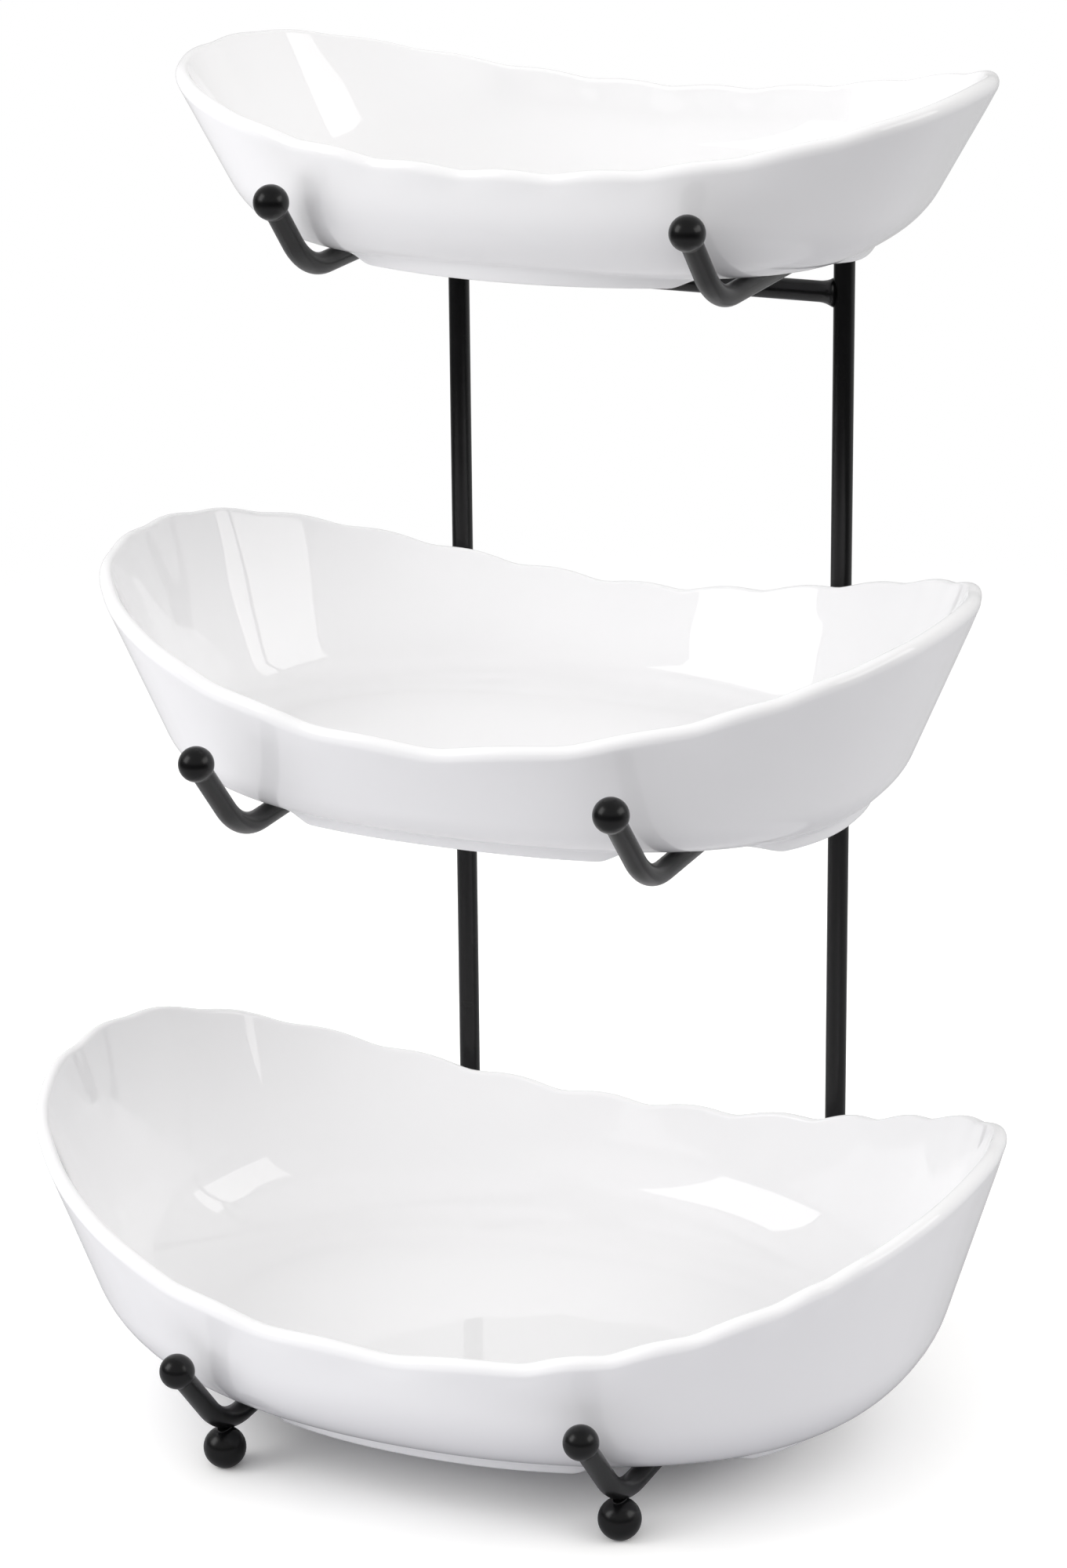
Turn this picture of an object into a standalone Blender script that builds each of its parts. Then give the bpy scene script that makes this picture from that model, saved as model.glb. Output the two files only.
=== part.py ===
# Tiered fruit bowl rack: a welded round-wire stand that carries three boat-shaped porcelain bowls.
# Lengths are in metres. Z is up, the front faces -Y and X runs along the bowls. The origin is
# on the floor, at the middle of the area that the whole object covers.

import math

import bmesh
import bpy
from mathutils import Vector

MM = 0.001

# Gap left between two pieces that touch
SEAT_GAP = 0.3 * MM

# Points of one mesh that lie closer than this are one point
MERGE_DISTANCE = 0.02 * MM

# Wire stand
ROD_DIAMETER = 7.2 * MM
POST_SPACING = 140 * MM
POST_TOP_INSET = 0.6 * MM
ROD_CHAMFER = 0.5 * MM
BEND_RADIUS = 22 * MM
END_SLOPE = math.radians(47)
END_BALL_DIAMETER = 11.5 * MM
FOOT_BALL_DIAMETER = 13.8 * MM
FOOT_FLAT_DEPTH = 0.3 * MM
FOOT_SINK = 1.3 * MM
CROSSBAR_OFFSET = 21.1 * MM
WELD_DIAMETER = 10 * MM
WELD_LENGTH = 4.5 * MM
WELD_WRAP = 2 * MM

# Porcelain
WALL = 5 * MM
RING_THICKNESS = 5 * MM
RING_DRAFT = 1 * MM
RING_FILLET = 1.2 * MM
NOTCH_CENTRE_OFFSET = 6 * MM
NOTCH_WIDTH = 42 * MM
NOTCH_EDGE = 10 * MM
LOBE_FADE = 22 * MM
LOBE_FADE_LIMIT_SHARE = 0.7
TURN_LIMIT_SHARE = 0.97

# Faces round each form
ROD_SIDES = 12
BALL_SIDES = 16
BALL_RINGS = 8
BEND_STEPS = 6
WELD_STEPS = 3
TURN_STEPS = 3
INNER_TURN_STEPS = 2
LIP_STEPS = 3
COLUMNS_PER_LOBE = 3
OUTLINE_SAMPLES = 1440
FACE_STEPS = 12
CREASE_ANGLE = math.radians(40)

# Each tier's arms and bowl. Rise is the height of a tier's arms above those of the tier below;
# the bottom arms get theirs from the feet. A bowl's heights are counted from its underside.
TIERS = {
    "bottom": {
        "end_rise": 33.2 * MM,
        "ball_gap": 6.5 * MM,
        "post_gap": 7.9 * MM,
        "length": 326.5 * MM,
        "width": 232.1 * MM,
        "rim_squareness": 2.38,
        "side_height": 48.6 * MM,
        "end_height": 91.1 * MM,
        "sweep_power": 2.19,
        "base_length": 211.7 * MM,
        "base_width": 143.6 * MM,
        "base_squareness": 2.28,
        "turn_radius": 42.3 * MM,
        "ring_length": 233.7 * MM,
        "ring_width": 165.9 * MM,
        "ring_squareness": 2.12,
        "ring_drop": 2.7 * MM,
        "lobes": 28,
        "lobe_depth": 1.8 * MM,
        "lobe_lift": 1.3 * MM,
    },
    "middle": {
        "rise": 198.2 * MM,
        "end_rise": 31.4 * MM,
        "ball_gap": 14.9 * MM,
        "post_gap": 3.3 * MM,
        "length": 292 * MM,
        "width": 201.8 * MM,
        "rim_squareness": 2.33,
        "side_height": 39.2 * MM,
        "end_height": 70.5 * MM,
        "sweep_power": 1.79,
        "base_length": 203.4 * MM,
        "base_width": 134.9 * MM,
        "base_squareness": 2.44,
        "turn_radius": 24.7 * MM,
        "ring_length": 223.4 * MM,
        "ring_width": 149.6 * MM,
        "ring_squareness": 2.37,
        "ring_drop": 2.4 * MM,
        "lobes": 26,
        "lobe_depth": 1.5 * MM,
        "lobe_lift": 1 * MM,
    },
    "top": {
        "rise": 171.1 * MM,
        "end_rise": 26.5 * MM,
        "ball_gap": 6.7 * MM,
        "back_overhang": 28 * MM,
        "length": 268.8 * MM,
        "width": 169 * MM,
        "rim_squareness": 2.63,
        "side_height": 36.6 * MM,
        "end_height": 57 * MM,
        "sweep_power": 2.04,
        "base_length": 167.6 * MM,
        "base_width": 108.5 * MM,
        "base_squareness": 2.86,
        "turn_radius": 35.7 * MM,
        "ring_length": 194.2 * MM,
        "ring_width": 132.4 * MM,
        "ring_squareness": 2.1,
        "ring_drop": 2.4 * MM,
        "lobes": 24,
        "lobe_depth": 1.2 * MM,
        "lobe_lift": 0.8 * MM,
    },
}
SIDES = {"left": -1, "right": 1}

# Finishes: colour, roughness and metallic value
BLACK_COAT = ((0.016, 0.016, 0.018), 0.42, 0.0)
WHITE_GLAZE = ((0.86, 0.86, 0.88), 0.07, 0.0)

# Sizes that follow from those above
ROD_RADIUS = ROD_DIAMETER / 2
POST_X = POST_SPACING / 2
WELD_RADIUS = WELD_DIAMETER / 2
END_BALL_RADIUS = END_BALL_DIAMETER / 2
FOOT_RADIUS = FOOT_BALL_DIAMETER / 2
FOOT_CENTRE_HEIGHT = FOOT_RADIUS - FOOT_FLAT_DEPTH
LIP_RADIUS = WALL / 2
NOTCH_X = POST_X + NOTCH_CENTRE_OFFSET
BOWL_SEAT = ROD_RADIUS + SEAT_GAP
MEAN_LOBE = 2 / math.pi


def empty_scene():
    for old in list(bpy.data.objects):
        bpy.data.objects.remove(old, do_unlink=True)


def finish(name, coat):
    colour, roughness, metallic = coat
    material = bpy.data.materials.new(name + "_finish")
    material.use_nodes = True
    shader = material.node_tree.nodes["Principled BSDF"]
    shader.inputs["Base Color"].default_value = (*colour, 1)
    shader.inputs["Roughness"].default_value = roughness
    shader.inputs["Metallic"].default_value = metallic
    material.diffuse_color = (*colour, 1)
    return material


def place(name, mesh, coat, parent, location):
    mesh.materials.clear()
    mesh.materials.append(finish(name, coat))
    mesh.shade_smooth()
    mesh.set_sharp_from_angle(angle=CREASE_ANGLE)
    piece = bpy.data.objects.new(name, mesh)
    bpy.context.collection.objects.link(piece)
    piece.parent = parent
    piece.location = location
    return piece


def place_cutter(name, mesh, parent, location):
    cutter = bpy.data.objects.new(name, mesh)
    bpy.context.collection.objects.link(cutter)
    cutter.parent = parent
    cutter.location = location
    cutter.hide_render = True
    cutter.display_type = "WIRE"
    return cutter


def cut(piece, cutter):
    difference = piece.modifiers.new("cut_by_" + cutter.name, "BOOLEAN")
    difference.operation = "DIFFERENCE"
    difference.object = cutter


def mesh_from(name, shape):
    bmesh.ops.recalc_face_normals(shape, faces=shape.faces)
    mesh = bpy.data.meshes.new(name)
    shape.to_mesh(mesh)
    shape.free()
    return mesh


def swept_rod(name, stations):
    # A round rod along stations, each a point and the radius there, with closed ends
    curve = bpy.data.curves.new(name, "CURVE")
    curve.dimensions = "3D"
    curve.twist_mode = "MINIMUM"
    curve.bevel_depth = ROD_RADIUS
    curve.bevel_resolution = ROD_SIDES // 2 - 2
    curve.use_fill_caps = True
    spline = curve.splines.new("POLY")
    spline.points.add(len(stations) - 1)
    for knot, (point, radius) in zip(spline.points, stations):
        knot.co = (*point, 1)
        knot.radius = radius / ROD_RADIUS
    guide = bpy.data.objects.new(name + "_guide", curve)
    bpy.context.collection.objects.link(guide)
    mesh = bpy.data.meshes.new_from_object(guide.evaluated_get(bpy.context.evaluated_depsgraph_get()))
    mesh.name = name
    bpy.data.objects.remove(guide, do_unlink=True)
    shape = bmesh.new()
    shape.from_mesh(mesh)
    bmesh.ops.remove_doubles(shape, verts=shape.verts, dist=MERGE_DISTANCE)
    bmesh.ops.recalc_face_normals(shape, faces=shape.faces)
    shape.to_mesh(mesh)
    shape.free()
    return mesh


def turned(name, profile):
    # The profile is (radius, height) pairs from one end of the axis to the other
    shape = bmesh.new()
    outline = [shape.verts.new((radius, 0, height)) for radius, height in profile]
    edges = [shape.edges.new(pair) for pair in zip(outline, outline[1:])]
    bmesh.ops.spin(
        shape, geom=outline + edges, cent=(0, 0, 0), axis=(0, 0, 1), angle=math.tau, steps=BALL_SIDES
    )
    bmesh.ops.remove_doubles(shape, verts=shape.verts, dist=MERGE_DISTANCE)
    return mesh_from(name, shape)


def ball_arc(radius, from_angle, to_angle):
    # Points on a ball's section, with angles counted up from the lowest point
    steps = range(BALL_RINGS + 1)
    angles = [from_angle + (to_angle - from_angle) * step / BALL_RINGS for step in steps]
    return [(radius * math.sin(angle), -radius * math.cos(angle)) for angle in angles]


def weld_radius(distance):
    # A weld's flare, by distance from the post that it joins
    left = max(1 - max(distance, 0) / WELD_LENGTH, 0)
    return ROD_RADIUS + (WELD_RADIUS - ROD_RADIUS) * left**2


def weld_distances():
    # Distances from the post's surface where a flared end has its stations, nearest first
    flare = [WELD_LENGTH * step / WELD_STEPS for step in range(WELD_STEPS + 1)]
    return [WELD_WRAP - ROD_RADIUS] + flare


def outline_point(length, width, squareness, angle):
    along, across = math.cos(angle), math.sin(angle)
    size = (abs(along) ** squareness + abs(across) ** squareness) ** (-1 / squareness)
    return Vector((length / 2 * size * along, width / 2 * size * across))


def rim_point(tier, angle):
    return outline_point(tier["length"], tier["width"], tier["rim_squareness"], angle)


def base_point(tier, angle):
    return outline_point(tier["base_length"], tier["base_width"], tier["base_squareness"], angle)


def ring_point(tier, angle):
    return outline_point(tier["ring_length"], tier["ring_width"], tier["ring_squareness"], angle)


def half_depth(tier, x):
    # Half of the rim's width across the bowl at a distance x from its middle
    power = tier["rim_squareness"]
    share = max(1 - abs(2 * x / tier["length"]) ** power, 0) ** (1 / power)
    return tier["width"] / 2 * share


def column_angles(tier):
    # Outline angles that space the mesh's columns evenly along the rim
    samples = [math.tau * step / OUTLINE_SAMPLES for step in range(OUTLINE_SAMPLES + 1)]
    points = [rim_point(tier, angle) for angle in samples]
    travelled = [0]
    for before, after in zip(points, points[1:]):
        travelled.append(travelled[-1] + (after - before).length)
    columns = tier["lobes"] * COLUMNS_PER_LOBE
    angles = []
    sample = 0
    for column in range(columns):
        wanted = travelled[-1] * column / columns
        while travelled[sample + 1] < wanted:
            sample += 1
        part = (wanted - travelled[sample]) / (travelled[sample + 1] - travelled[sample])
        angles.append(samples[sample] + (samples[sample + 1] - samples[sample]) * part)
    return angles


def lobe_at(tier, turn_share):
    # The rim's scallops about their mean, with a valley at each tip of the bowl
    return abs(math.sin(math.pi * tier["lobes"] * turn_share)) - MEAN_LOBE


def notch_at(x):
    # 1 where the foot ring is cut away over an arm, 0 where it is whole
    edge_end = (NOTCH_WIDTH + NOTCH_EDGE) / 2
    part = min(max((edge_end - abs(abs(x) - NOTCH_X)) / NOTCH_EDGE, 0), 1)
    return part * part * (3 - 2 * part)


class WallSection:
    # One upright section of a bowl's wall. Out is the distance beyond the flat underside's edge
    # and up is the height above the underside.

    def __init__(self, tier, angle):
        self.base = base_point(tier, angle)
        rim = rim_point(tier, angle)
        self.outward = (rim - self.base).normalized()
        self.out = (rim - self.base).length
        swept = abs(2 * rim.x / tier["length"]) ** tier["sweep_power"]
        self.up = tier["side_height"] + (tier["end_height"] - tier["side_height"]) * swept
        lip_up = self.up - LIP_RADIUS
        limit = TURN_LIMIT_SHARE * (self.out**2 + lip_up**2) / (2 * lip_up)
        self.turn = min(tier["turn_radius"], limit)
        centre_to_lip = math.hypot(self.out, lip_up - self.turn)
        lean = math.atan2(lip_up - self.turn, self.out) - math.acos(self.turn / centre_to_lip)
        self.turn_end = lean + math.pi / 2
        ring = ring_point(tier, angle)
        self.ring_out = (ring - self.base).dot(self.outward)
        self.notch = notch_at(ring.x)

    def under(self, out):
        # Height of the underside's turn at a distance beyond the flat part
        return self.turn - math.sqrt(self.turn**2 - min(max(out, 0), self.turn) ** 2)

    def on_turn(self, angle, depth=0):
        # A point on the turn, at a depth inside the wall
        radius = self.turn - depth
        return radius * math.sin(angle), self.turn - radius * math.cos(angle)

    def foot_ring(self, drop):
        # The ring's inner root, its two lower corners, which a notch lifts, and its outer root
        inner = self.ring_out - RING_THICKNESS
        inner_root = (inner - RING_DRAFT, self.under(inner - RING_DRAFT))
        outer_root = (self.ring_out + RING_FILLET, self.under(self.ring_out + RING_FILLET))
        corners = []
        for out in (inner, self.ring_out):
            corners.append((out, self.under(out) * self.notch - drop * (1 - self.notch)))
        return [inner_root, *corners, outer_root]

    def outer_turn(self):
        start = math.asin(min((self.ring_out + RING_FILLET) / self.turn, 1))
        steps = range(1, TURN_STEPS + 1)
        return [self.on_turn(start + (self.turn_end - start) * step / TURN_STEPS) for step in steps]

    def lip(self, outward, upward):
        centre_out = self.out + outward - LIP_RADIUS
        centre_up = self.up + upward - LIP_RADIUS
        angles = [math.pi * step / LIP_STEPS for step in range(LIP_STEPS + 1)]
        return [
            (centre_out + LIP_RADIUS * math.cos(angle), centre_up + LIP_RADIUS * math.sin(angle))
            for angle in angles
        ]

    def fade_point(self, depth):
        # Where the scallops die out on the wall's outer face, or its inner face at a depth
        foot = Vector(self.on_turn(self.turn_end, depth))
        lip = Vector((self.out - (WALL if depth else 0), self.up - LIP_RADIUS))
        straight = (lip - foot).length
        share = 1 - min(LOBE_FADE / straight, LOBE_FADE_LIMIT_SHARE)
        return tuple(foot.lerp(lip, share))

    def inner_turn(self):
        steps = range(INNER_TURN_STEPS, -1, -1)
        return [self.on_turn(self.turn_end * step / INNER_TURN_STEPS, WALL) for step in steps]

    def outline(self, tier, lobe):
        points = [(0, 0)]
        points += self.foot_ring(tier["ring_drop"])
        points += self.outer_turn()
        points.append(self.fade_point(0))
        points += self.lip(tier["lobe_depth"] * lobe, tier["lobe_lift"] * lobe)
        points.append(self.fade_point(WALL))
        points += self.inner_turn()
        return points

    def spot(self, out, up):
        plan = self.base + self.outward * out
        return Vector((plan.x, plan.y, up))

    def outer_face(self):
        # Close-set spots on the outer face without its scallops
        shares = [step / FACE_STEPS for step in range(FACE_STEPS + 1)]
        turn = [Vector(self.on_turn(self.turn_end * share)) for share in shares]
        lip = Vector((self.out, self.up - LIP_RADIUS))
        straight = [turn[-1].lerp(lip, share) for share in shares]
        return [self.spot(*point) for point in turn + straight]


def bowl_mesh(name, tier):
    angles = column_angles(tier)
    shape = bmesh.new()
    columns = []
    for number, angle in enumerate(angles):
        section = WallSection(tier, angle)
        lobe = lobe_at(tier, number / len(angles))
        columns.append([shape.verts.new(section.spot(*point)) for point in section.outline(tier, lobe)])
    for here, there in zip(columns, columns[1:] + columns[:1]):
        for low in range(len(here) - 1):
            shape.faces.new((here[low], there[low], there[low + 1], here[low + 1]))
    shape.faces.new([column[0] for column in columns])
    shape.faces.new([column[-1] for column in columns])
    return mesh_from(name, shape)


def bowl_centre(tier):
    # Distance of the bowl's middle in front of the posts' axes
    if "back_overhang" in tier:
        return tier["width"] / 2 - tier["back_overhang"]
    return ROD_RADIUS + tier["post_gap"] + half_depth(tier, POST_X)


def ball_reach(tier):
    # How far in front of the bowl's middle an end ball stands, to keep its gap to the bowl's wall
    height = tier["end_rise"] - BOWL_SEAT
    keep_off = END_BALL_RADIUS + tier["ball_gap"]
    reach = 0
    for step in range(OUTLINE_SAMPLES):
        section = WallSection(tier, math.tau * step / OUTLINE_SAMPLES)
        for spot in section.outer_face():
            spare = keep_off**2 - (spot.x - POST_X) ** 2 - (spot.z - height) ** 2
            if spare > 0:
                reach = max(reach, math.sqrt(spare) - spot.y)
    return reach


def arm_stations(tier, level, extra=0):
    # From the post forward, round the bend and up to the ball; extra fattens a cutter
    rise = tier["end_rise"]
    ball = Vector((0, -tier["ball_y"], level + rise))
    slope = Vector((0, -math.cos(END_SLOPE), math.sin(END_SLOPE)))
    corner = ball - slope * (rise / math.sin(END_SLOPE))
    setback = BEND_RADIUS * math.tan(END_SLOPE / 2)
    distances = weld_distances()
    distances[0] -= extra
    stations = []
    for distance in distances:
        stations.append((Vector((0, -ROD_RADIUS - distance, level)), weld_radius(distance) + extra))
    centre = corner + Vector((0, setback, BEND_RADIUS))
    for step in range(BEND_STEPS + 1):
        angle = END_SLOPE * step / BEND_STEPS
        bend = Vector((0, -math.sin(angle), -math.cos(angle))) * BEND_RADIUS
        stations.append((centre + bend, ROD_RADIUS + extra))
    seat = math.sqrt(END_BALL_RADIUS**2 - ROD_RADIUS**2) + SEAT_GAP
    stations.append((ball - slope * seat, ROD_RADIUS + extra))
    return stations


def foot_forward(tier):
    # A front foot stands under the middle of the bottom arm's bend
    corner = tier["ball_y"] - tier["end_rise"] / math.tan(END_SLOPE)
    return corner - BEND_RADIUS * (math.tan(END_SLOPE / 2) - math.sin(END_SLOPE / 2))


def bottom_level():
    # Height of the bottom arms' axes, from how deep their bends sit in the front feet
    foot_top = FOOT_CENTRE_HEIGHT + FOOT_RADIUS
    bend_lift = BEND_RADIUS * (1 - math.cos(END_SLOPE / 2))
    return foot_top - FOOT_SINK + ROD_RADIUS / math.cos(END_SLOPE / 2) - bend_lift


def settle_tiers():
    # Each tier's arm level, and how far its bowl and its end balls stand in front of the posts
    level = bottom_level()
    for tier in TIERS.values():
        level += tier.get("rise", 0)
        tier["level"] = level
        tier["bowl_y"] = bowl_centre(tier)
        tier["ball_y"] = tier["bowl_y"] + ball_reach(tier)


def add_posts(stand):
    cutters = {}
    underside = TIERS["bottom"]["level"] - ROD_RADIUS
    top = TIERS["top"]["level"] + ROD_RADIUS - POST_TOP_INSET
    chamfered = ROD_RADIUS - ROD_CHAMFER
    for side, sign in SIDES.items():
        stations = [
            (Vector((0, 0, underside)), ROD_RADIUS),
            (Vector((0, 0, top - ROD_CHAMFER)), ROD_RADIUS),
            (Vector((0, 0, top)), chamfered),
        ]
        name = side + "_post"
        spot = (sign * POST_X, 0, 0)
        place(name, swept_rod(name, stations), BLACK_COAT, stand, spot)
        room = [
            (Vector((0, 0, underside - SEAT_GAP)), ROD_RADIUS + SEAT_GAP),
            (Vector((0, 0, top + WELD_DIAMETER)), ROD_RADIUS + SEAT_GAP),
        ]
        cutters[side] = place_cutter(name + "_room", swept_rod(name + "_room", room), stand, spot)
    return cutters


def add_crossbars(stand, post_rooms):
    for tier_name, tier in TIERS.items():
        offset = CROSSBAR_OFFSET if tier_name == "bottom" else -CROSSBAR_OFFSET
        height = tier["level"] + offset
        ends = [(POST_X - ROD_RADIUS - distance, weld_radius(distance)) for distance in weld_distances()]
        stations = [(Vector((-x, 0, height)), radius) for x, radius in ends]
        stations += [(Vector((x, 0, height)), radius) for x, radius in reversed(ends)]
        name = tier_name + "_crossbar"
        bar = place(name, swept_rod(name, stations), BLACK_COAT, stand, (0, 0, 0))
        for room in post_rooms.values():
            cut(bar, room)


def add_arms(stand, post_rooms):
    seat = math.sqrt(END_BALL_RADIUS**2 - ROD_RADIUS**2)
    seat_angle = math.pi - math.asin(ROD_RADIUS / END_BALL_RADIUS)
    profile = ball_arc(END_BALL_RADIUS, 0, seat_angle) + [(0, seat)]
    down_slope = Vector((0, math.cos(END_SLOPE), -math.sin(END_SLOPE)))
    for tier_name, tier in TIERS.items():
        for side, sign in SIDES.items():
            name = tier_name + "_" + side + "_arm"
            rod = swept_rod(name, arm_stations(tier, tier["level"]))
            arm = place(name, rod, BLACK_COAT, stand, (sign * POST_X, 0, 0))
            cut(arm, post_rooms[side])
            spot = (sign * POST_X, -tier["ball_y"], tier["level"] + tier["end_rise"])
            ball = place(name + "_ball", turned(name + "_ball", profile), BLACK_COAT, stand, spot)
            ball.rotation_euler = down_slope.to_track_quat("Z", "X").to_euler()


def add_feet(stand, post_rooms):
    tier = TIERS["bottom"]
    flat_angle = math.acos(FOOT_CENTRE_HEIGHT / FOOT_RADIUS)
    profile = [(0, -FOOT_CENTRE_HEIGHT)] + ball_arc(FOOT_RADIUS, flat_angle, math.pi)
    for side, sign in SIDES.items():
        name = "bottom_" + side + "_arm_room"
        room_mesh = swept_rod(name, arm_stations(tier, tier["level"], SEAT_GAP))
        arm_room = place_cutter(name, room_mesh, stand, (sign * POST_X, 0, 0))
        for end, forward in (("front", foot_forward(tier)), ("rear", 0)):
            foot_name = end + "_" + side + "_foot"
            spot = (sign * POST_X, -forward, FOOT_CENTRE_HEIGHT)
            foot = place(foot_name, turned(foot_name, profile), BLACK_COAT, stand, spot)
            cut(foot, arm_room)
            if end == "rear":
                cut(foot, post_rooms[side])


def add_bowls(stand):
    for tier_name, tier in TIERS.items():
        name = tier_name + "_bowl"
        spot = (0, -tier["bowl_y"], tier["level"] + BOWL_SEAT)
        place(name, bowl_mesh(name, tier), WHITE_GLAZE, stand, spot)


def middle_of_depth():
    # How far the posts stand behind the middle of the floor area
    fronts = [tier["ball_y"] + END_BALL_RADIUS for tier in TIERS.values()]
    backs = [FOOT_RADIUS]
    for tier in TIERS.values():
        swell = tier["lobe_depth"] * (1 - MEAN_LOBE)
        fronts.append(tier["bowl_y"] + tier["width"] / 2 + swell)
        backs.append(tier["width"] / 2 + swell - tier["bowl_y"])
    return (max(fronts) - max(backs)) / 2


def build():
    empty_scene()
    settle_tiers()
    stand = bpy.data.objects.new("stand", None)
    bpy.context.collection.objects.link(stand)
    stand.location = (0, middle_of_depth(), 0)
    post_rooms = add_posts(stand)
    add_crossbars(stand, post_rooms)
    add_arms(stand, post_rooms)
    add_feet(stand, post_rooms)
    add_bowls(stand)
    bpy.context.view_layer.update()


build()
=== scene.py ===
import math
from bisect import bisect_right

import bmesh
import bpy
from mathutils import Matrix, Vector


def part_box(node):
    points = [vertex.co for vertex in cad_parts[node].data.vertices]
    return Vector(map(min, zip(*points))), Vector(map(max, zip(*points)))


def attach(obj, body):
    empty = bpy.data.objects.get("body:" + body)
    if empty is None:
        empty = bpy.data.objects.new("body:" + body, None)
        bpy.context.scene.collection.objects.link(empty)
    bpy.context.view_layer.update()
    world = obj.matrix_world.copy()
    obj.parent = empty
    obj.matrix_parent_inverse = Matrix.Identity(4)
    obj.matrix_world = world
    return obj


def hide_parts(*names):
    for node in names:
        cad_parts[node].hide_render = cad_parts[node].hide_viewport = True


# Three glazed bowls on a welded wire stand. Metres, Z up, the front faces -Y.
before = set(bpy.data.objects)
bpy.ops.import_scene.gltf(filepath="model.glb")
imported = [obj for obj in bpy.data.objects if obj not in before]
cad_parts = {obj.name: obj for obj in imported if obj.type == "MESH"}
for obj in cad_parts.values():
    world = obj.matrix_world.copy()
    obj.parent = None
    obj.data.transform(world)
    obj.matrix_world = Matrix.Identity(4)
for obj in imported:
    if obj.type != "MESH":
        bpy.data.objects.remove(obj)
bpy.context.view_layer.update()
mm = 0.001
tiers = ("bottom", "middle", "top")
sides = ("left", "right")
print("frame loaded:", len(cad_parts), "nodes")


def middle(node):
    low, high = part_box(node)
    return (low + high) / 2


# Node trees

def addNode(tree, kind, wires=(), **settings):
    node = tree.nodes.new(kind)
    for name, value in settings.items():
        setattr(node, name, value)
    for socket, value in dict(wires).items():
        target = node.inputs[socket]
        if isinstance(value, bpy.types.NodeSocket):
            tree.links.new(value, target)
        else:
            target.default_value = value
    return node


def maths(tree, operation, *values, clamp=False):
    node = addNode(tree, "ShaderNodeMath", dict(enumerate(values)), operation=operation)
    node.use_clamp = clamp
    return node.outputs[0]


def vectorMaths(tree, operation, wires, output=0):
    return addNode(tree, "ShaderNodeVectorMath", wires, operation=operation).outputs[output]


def shareBetween(tree, value, limits, kind="LINEAR"):
    wires = {"Value": value, "From Min": limits[0], "From Max": limits[1]}
    return addNode(tree, "ShaderNodeMapRange", wires, interpolation_type=kind).outputs["Result"]


def spread(tree, share, low, high):
    wires = {"Value": share, "To Min": low, "To Max": high}
    return addNode(tree, "ShaderNodeMapRange", wires).outputs["Result"]


def noise(tree, place, scale, detail=3):
    wires = {"Vector": place, "Scale": scale, "Detail": detail}
    return addNode(tree, "ShaderNodeTexNoise", wires).outputs["Fac"]


def named(tree, name, kind="FLOAT"):
    node = addNode(tree, "GeometryNodeInputNamedAttribute", {"Name": name}, data_type=kind)
    return node.outputs["Attribute"]


def newShapeTree(name, floats, integers):
    tree = bpy.data.node_groups.new(name, "GeometryNodeTree")
    sockets = [("Geometry", "Geometry")] + [(label, "Float") for label in floats]
    sockets += [(label, "Int") for label in integers] + [("Material", "Material")]
    for label, kind in sockets:
        tree.interface.new_socket(label, in_out="INPUT", socket_type="NodeSocket" + kind)
    tree.interface.new_socket("Geometry", in_out="OUTPUT", socket_type="NodeSocketGeometry")
    return tree, tree.nodes.new("NodeGroupInput").outputs


def closeTree(tree, geometry, material):
    smooth = addNode(tree, "GeometryNodeSetShadeSmooth", {"Geometry": geometry}).outputs[0]
    wires = {"Geometry": smooth, "Material": material}
    coated = addNode(tree, "GeometryNodeSetMaterial", wires).outputs[0]
    addNode(tree, "NodeGroupOutput", {"Geometry": coated})


def runTree(name, mesh, tree, values):
    guide = bpy.data.objects.new(name + "Guide", mesh)
    bpy.context.collection.objects.link(guide)
    modifier = guide.modifiers.new(tree.name, "NODES")
    modifier.node_group = tree
    for item in tree.interface.items_tree:
        if item.in_out == "INPUT" and item.name in values:
            modifier[item.identifier] = values[item.name]
    evaluated = guide.evaluated_get(bpy.context.evaluated_depsgraph_get())
    made = bpy.data.meshes.new_from_object(evaluated)
    bpy.data.objects.remove(guide, do_unlink=True)
    made.name = name
    return made


def showPiece(name, mesh, body, node):
    piece = bpy.data.objects.new(name, mesh)
    bpy.context.collection.objects.link(piece)
    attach(piece, body)
    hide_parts(node)


# Materials

coat = {
    "colour": (0.002, 0.002, 0.0022),
    "fadedColour": (0.0045, 0.0045, 0.0048),
    "roughness": (0.23, 0.29),
    "shine": 0.33,             # 0.5 would be plain plastic
    "patchScale": 70,          # colour and gloss patches, per metre
    "grainScale": 1500,        # the powder's orange peel
    "grainDepth": 0.03 * mm,
    "grainStrength": 0.35,
    "weldScale": 520,
    "weldDepth": 0.25 * mm,
}
glaze = {
    "colour": (0.872, 0.869, 0.873),
    "poolColour": (0.838, 0.838, 0.842),
    "biscuitColour": (0.74, 0.72, 0.68),
    "roughness": (0.015, 0.032),
    "biscuitRoughness": 0.8,
    "poolScale": 14,
    "waveScale": 22,
    "waveDepth": 0.5 * mm,
    "waveStrength": 0.12,
}


def newMaterial(name):
    material = bpy.data.materials.new(name)
    material.use_nodes = True
    tree = material.node_tree
    place = addNode(tree, "ShaderNodeTexCoord").outputs["Object"]
    return material, tree, tree.nodes["Principled BSDF"], place


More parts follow.
